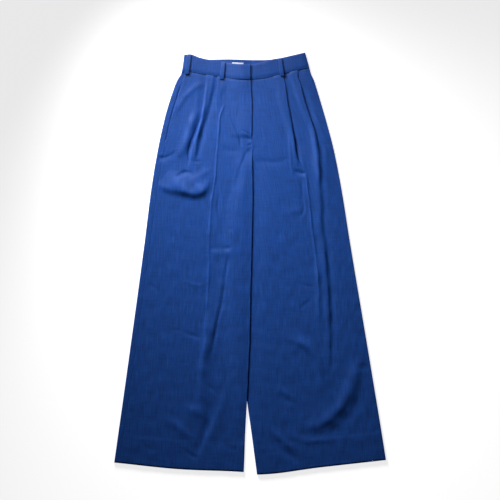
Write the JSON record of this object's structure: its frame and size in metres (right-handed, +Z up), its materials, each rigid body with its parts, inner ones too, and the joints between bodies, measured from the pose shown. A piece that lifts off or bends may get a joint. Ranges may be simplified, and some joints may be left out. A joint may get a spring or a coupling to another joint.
{
  "type": "double-pleated wide-leg trousers",
  "caption": "High-waisted wide-leg trousers laid flat: pleated fronts, fly lap, side pockets, waistband with belt loops.",
  "frame": {"origin": "middle of the flat trousers, on the surface that they lie on", "axes": "+X towards the wearer's left, +Y towards the waistband, +Z up from the surface, out of the front"},
  "size_m": [0.7192, 1.1155, 0.0102],
  "materials": {
    "cloth": "smooth slubbed blue wool suiting",
    "label": "plain white woven"
  },
  "bodies": {
    "root": {"front_right": "cloth", "front_left": "cloth", "back_right": "cloth", "back_left": "cloth", "waistband_front_right": "cloth", "waistband_front_left": "cloth", "waistband_back": "cloth", "belt_loop_side_right": "cloth", "belt_loop_front_right": "cloth", "belt_loop_front_left": "cloth", "belt_loop_side_left": "cloth", "belt_loop_back": "cloth", "label_back": "label"}
  },
  "joints": []
}
